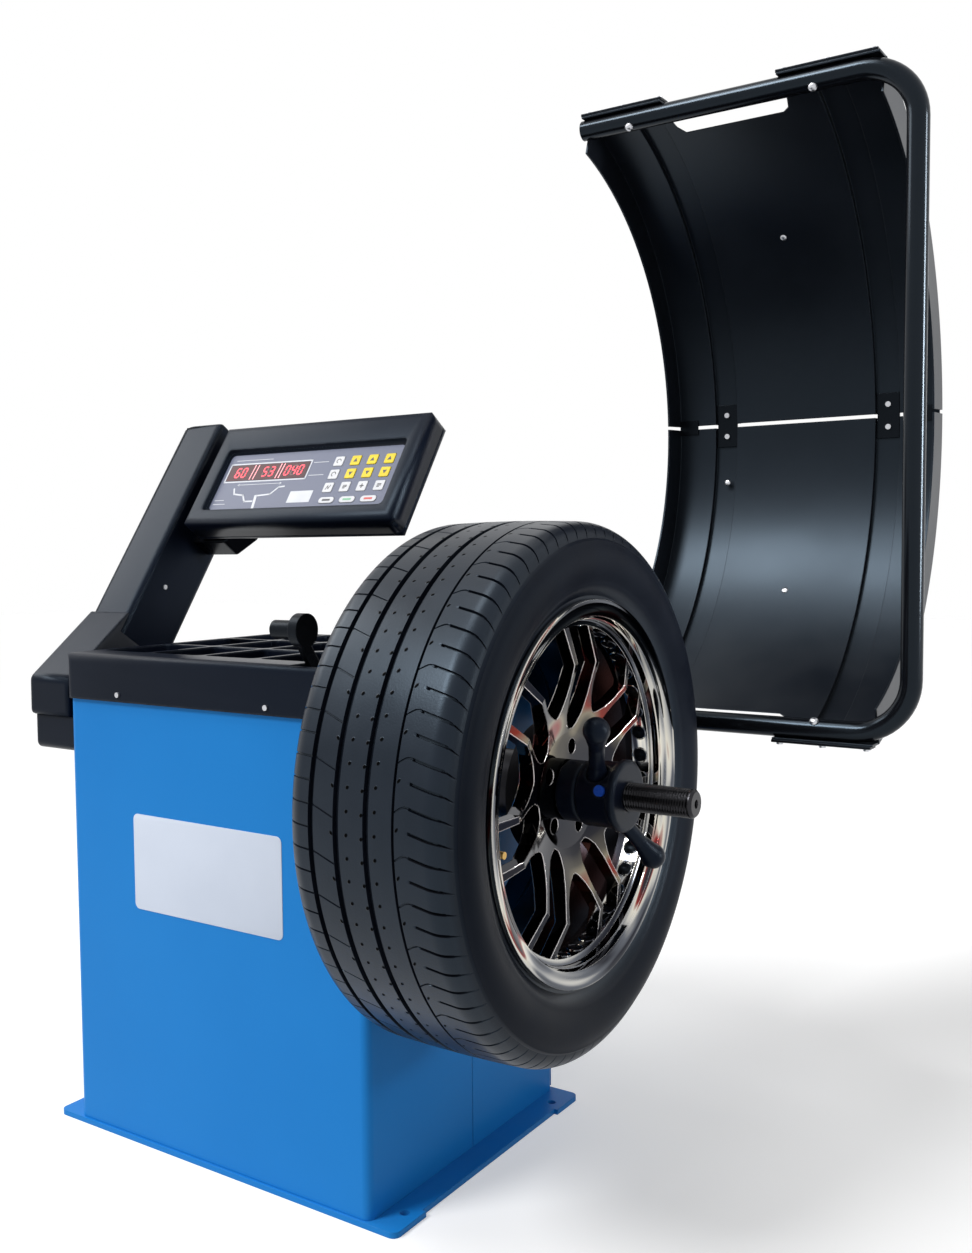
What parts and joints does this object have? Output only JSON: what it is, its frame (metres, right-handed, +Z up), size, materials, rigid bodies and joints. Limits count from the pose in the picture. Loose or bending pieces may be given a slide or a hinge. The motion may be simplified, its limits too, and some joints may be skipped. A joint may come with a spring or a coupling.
{
  "type": "wheel balancer",
  "caption": "Wheel balancer: steel cabinet with a pocketed weight tray, leaning display column, driven spindle with a clamped wheel, distance gauge and swing-over wheel hood.",
  "frame": {"origin": "on the floor, in the middle of the four anchor holes under the cabinet", "axes": "+X along the spindle out of the right side, +Y to the back, +Z up"},
  "size_m": [1.256, 1.1054, 1.581],
  "materials": {
    "blue_paint": "gloss",
    "black_plastic": "fine grain",
    "black_paint": "satin powder coat",
    "zinc_steel": "zinc plated",
    "cast_metal": "machined",
    "dark_steel": "blackened",
    "panel_film": "satin",
    "window_red": "gloss",
    "key_yellow": "satin",
    "key_white": "satin",
    "button_blue": "gloss",
    "board_green": "satin",
    "belt_rubber": "matte",
    "tyre_rubber": "matte",
    "rim_metal": "dark chrome",
    "valve_brass": "polished"
  },
  "bodies": {
    "frame": {"base_plate": "blue_paint", "cabinet_shell": "blue_paint", "rear_panel": "blue_paint", "case_screws": "zinc_steel", "weight_tray": "black_plastic", "column_foot": "black_plastic", "side_box": "black_plastic", "display_column": "black_plastic", "head_shell": "black_plastic", "head_back_cover": "black_plastic", "head_neck": "black_paint", "control_panel": "panel_film", "display_window": "window_red", "spindle_housing": "cast_metal", "spindle_bearings": "zinc_steel", "spindle_support": "blue_paint", "force_sensors": "zinc_steel", "motor": "cast_metal", "motor_bracket": "blue_paint", "drive_belt": "belt_rubber", "power_board": "board_green", "power_inlet": "black_plastic", "hood_bearings": "black_paint", "gauge_guide": "zinc_steel"},
    "spindle": {"spindle_shaft": "dark_steel", "wheel_flange": "dark_steel", "driven_pulley": "cast_metal", "encoder_disc": "zinc_steel", "centring_cone": "cast_metal", "wheel_rim": "rim_metal", "wheel_centre": "rim_metal", "tyre": "tyre_rubber", "tyre_valve": "valve_brass"},
    "motor_rotor": {"motor_pulley": "zinc_steel"},
    "clamp_cup": {"pressure_cup": "black_plastic"},
    "clamp_nut": {"nut_hub": "black_plastic", "nut_handles": "black_plastic"},
    "release": {"release_button": "button_blue"},
    "hood": {"hood_tube": "black_paint", "hood_upper_panel": "black_paint", "hood_lower_panel": "black_paint", "hood_brackets": "black_paint", "hood_screws": "zinc_steel"},
    "gauge_slider": {"gauge_carriage": "cast_metal"},
    "gauge_arm": {"gauge_rod": "black_paint"},
    "key_row1_1": {"key_row1_1": "key_white"},
    "key_row1_2": {"key_row1_2": "key_yellow"},
    "key_row1_3": {"key_row1_3": "key_yellow"},
    "key_row1_4": {"key_row1_4": "key_yellow"},
    "key_row2_1": {"key_row2_1": "key_white"},
    "key_row2_2": {"key_row2_2": "key_yellow"},
    "key_row2_3": {"key_row2_3": "key_yellow"},
    "key_row2_4": {"key_row2_4": "key_yellow"},
    "key_row3_1": {"key_row3_1": "key_white"},
    "key_row3_2": {"key_row3_2": "key_white"},
    "key_row3_3": {"key_row3_3": "key_white"},
    "key_row3_4": {"key_row3_4": "key_white"},
    "key_oval_1": {"key_oval_1": "key_white"},
    "key_oval_2": {"key_oval_2": "key_white"},
    "key_oval_3": {"key_oval_3": "key_white"}
  },
  "joints": [
    {"name": "spindle_spin", "type": "hinge", "parent": "frame", "child": "spindle", "pos_m": [0, -0.113, 0.592], "axis": [1, 0, 0], "continuous": true},
    {"name": "motor_spin", "type": "hinge", "parent": "frame", "child": "motor_rotor", "pos_m": [0, 0.11, 0.25], "axis": [1, 0, 0], "continuous": true},
    {"name": "clamp_slide", "type": "slide", "parent": "spindle", "child": "clamp_cup", "axis": [1, 0, 0], "range_m": [0, 0.08]},
    {"name": "nut_spin", "type": "hinge", "parent": "clamp_cup", "child": "clamp_nut", "pos_m": [0.57, -0.113, 0.592], "axis": [1, 0, 0], "continuous": true},
    {"name": "release_press", "type": "slide", "parent": "clamp_nut", "child": "release", "axis": [0, 0.9613, -0.2756], "range_m": [0, 0.003], "stiffness_N_per_m": 400, "springref_m": -0.001},
    {"name": "hood_swing", "type": "hinge", "parent": "frame", "child": "hood", "pos_m": [0.3, 0.268, 0.637], "axis": [1, 0, 0], "range_deg": [0, 76]},
    {"name": "gauge_slide", "type": "slide", "parent": "frame", "child": "gauge_slider", "axis": [1, 0, 0], "range_m": [0, 0.118]},
    {"name": "gauge_swing", "type": "hinge", "parent": "gauge_slider", "child": "gauge_arm", "pos_m": [0, -0.163, 0.684], "axis": [1, 0, 0], "range_deg": [-58, 0]},
    {"name": "press_row1_1", "type": "slide", "parent": "frame", "child": "key_row1_1", "axis": [0, 0.8261, -0.5635], "range_m": [0, 0.0005], "stiffness_N_per_m": 400, "springref_m": -0.0005},
    {"name": "press_row1_2", "type": "slide", "parent": "frame", "child": "key_row1_2", "axis": [0, 0.8261, -0.5635], "range_m": [0, 0.0005], "stiffness_N_per_m": 400, "springref_m": -0.0005},
    {"name": "press_row1_3", "type": "slide", "parent": "frame", "child": "key_row1_3", "axis": [0, 0.8261, -0.5635], "range_m": [0, 0.0005], "stiffness_N_per_m": 400, "springref_m": -0.0005},
    {"name": "press_row1_4", "type": "slide", "parent": "frame", "child": "key_row1_4", "axis": [0, 0.8261, -0.5635], "range_m": [0, 0.0005], "stiffness_N_per_m": 400, "springref_m": -0.0005},
    {"name": "press_row2_1", "type": "slide", "parent": "frame", "child": "key_row2_1", "axis": [0, 0.8261, -0.5635], "range_m": [0, 0.0005], "stiffness_N_per_m": 400, "springref_m": -0.0005},
    {"name": "press_row2_2", "type": "slide", "parent": "frame", "child": "key_row2_2", "axis": [0, 0.8261, -0.5635], "range_m": [0, 0.0005], "stiffness_N_per_m": 400, "springref_m": -0.0005},
    {"name": "press_row2_3", "type": "slide", "parent": "frame", "child": "key_row2_3", "axis": [0, 0.8261, -0.5635], "range_m": [0, 0.0005], "stiffness_N_per_m": 400, "springref_m": -0.0005},
    {"name": "press_row2_4", "type": "slide", "parent": "frame", "child": "key_row2_4", "axis": [0, 0.8261, -0.5635], "range_m": [0, 0.0005], "stiffness_N_per_m": 400, "springref_m": -0.0005},
    {"name": "press_row3_1", "type": "slide", "parent": "frame", "child": "key_row3_1", "axis": [0, 0.8261, -0.5635], "range_m": [0, 0.0005], "stiffness_N_per_m": 400, "springref_m": -0.0005},
    {"name": "press_row3_2", "type": "slide", "parent": "frame", "child": "key_row3_2", "axis": [0, 0.8261, -0.5635], "range_m": [0, 0.0005], "stiffness_N_per_m": 400, "springref_m": -0.0005},
    {"name": "press_row3_3", "type": "slide", "parent": "frame", "child": "key_row3_3", "axis": [0, 0.8261, -0.5635], "range_m": [0, 0.0005], "stiffness_N_per_m": 400, "springref_m": -0.0005},
    {"name": "press_row3_4", "type": "slide", "parent": "frame", "child": "key_row3_4", "axis": [0, 0.8261, -0.5635], "range_m": [0, 0.0005], "stiffness_N_per_m": 400, "springref_m": -0.0005},
    {"name": "press_oval_1", "type": "slide", "parent": "frame", "child": "key_oval_1", "axis": [0, 0.8261, -0.5635], "range_m": [0, 0.0005], "stiffness_N_per_m": 400, "springref_m": -0.0005},
    {"name": "press_oval_2", "type": "slide", "parent": "frame", "child": "key_oval_2", "axis": [0, 0.8261, -0.5635], "range_m": [0, 0.0005], "stiffness_N_per_m": 400, "springref_m": -0.0005},
    {"name": "press_oval_3", "type": "slide", "parent": "frame", "child": "key_oval_3", "axis": [0, 0.8261, -0.5635], "range_m": [0, 0.0005], "stiffness_N_per_m": 400, "springref_m": -0.0005}
  ],
  "couplings": [
    {"joint": "motor_spin", "follows": "spindle_spin", "ratio": 2.8571}
  ]
}
